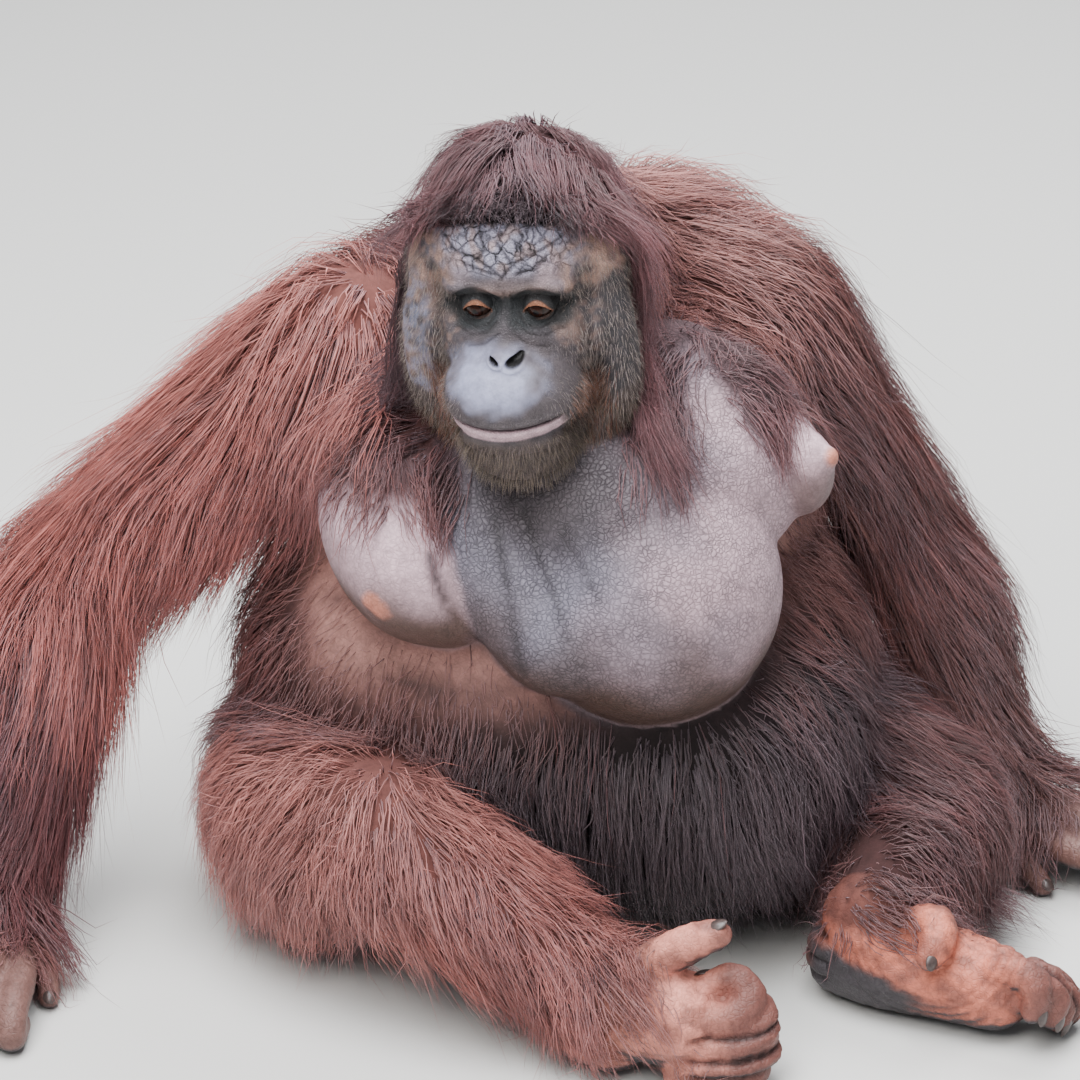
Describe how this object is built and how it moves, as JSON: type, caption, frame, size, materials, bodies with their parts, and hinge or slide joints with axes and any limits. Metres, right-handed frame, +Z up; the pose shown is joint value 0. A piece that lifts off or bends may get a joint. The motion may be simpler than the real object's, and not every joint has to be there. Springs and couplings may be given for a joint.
{
  "type": "seated orangutan figure",
  "caption": "Life-size still figure of a heavy adult female orangutan seated on the ground, leaning on one straight arm, with long shaggy coat, bare face and a hanging throat sac.",
  "frame": {"origin": "on the floor, on the flat under the rump", "axes": "+Z up from the floor; the animal faces -Y and its left side is +X"},
  "size_m": [1.133, 0.6435, 0.7869],
  "materials": {
    "eye": "wet gloss",
    "coat": "matt hair",
    "face_skin": "dull skin",
    "chest_skin": "dull skin",
    "hand_skin": "dull skin"
  },
  "bodies": {
    "root": {"eye_right": "eye", "eye_left": "eye", "torso": "coat", "neck": "coat", "upper_arm_right": "coat", "upper_arm_left": "coat", "forearm_right": "coat", "forearm_left": "coat", "thigh_right": "coat", "thigh_left": "coat", "shin_right": "coat", "shin_left": "coat", "head": "face_skin", "throat_sac": "chest_skin", "breast_right": "chest_skin", "breast_left": "chest_skin", "hand_right": "hand_skin", "hand_left": "hand_skin", "foot_right": "hand_skin", "foot_left": "hand_skin", "ear_right": "face_skin", "ear_left": "face_skin"}
  },
  "joints": []
}
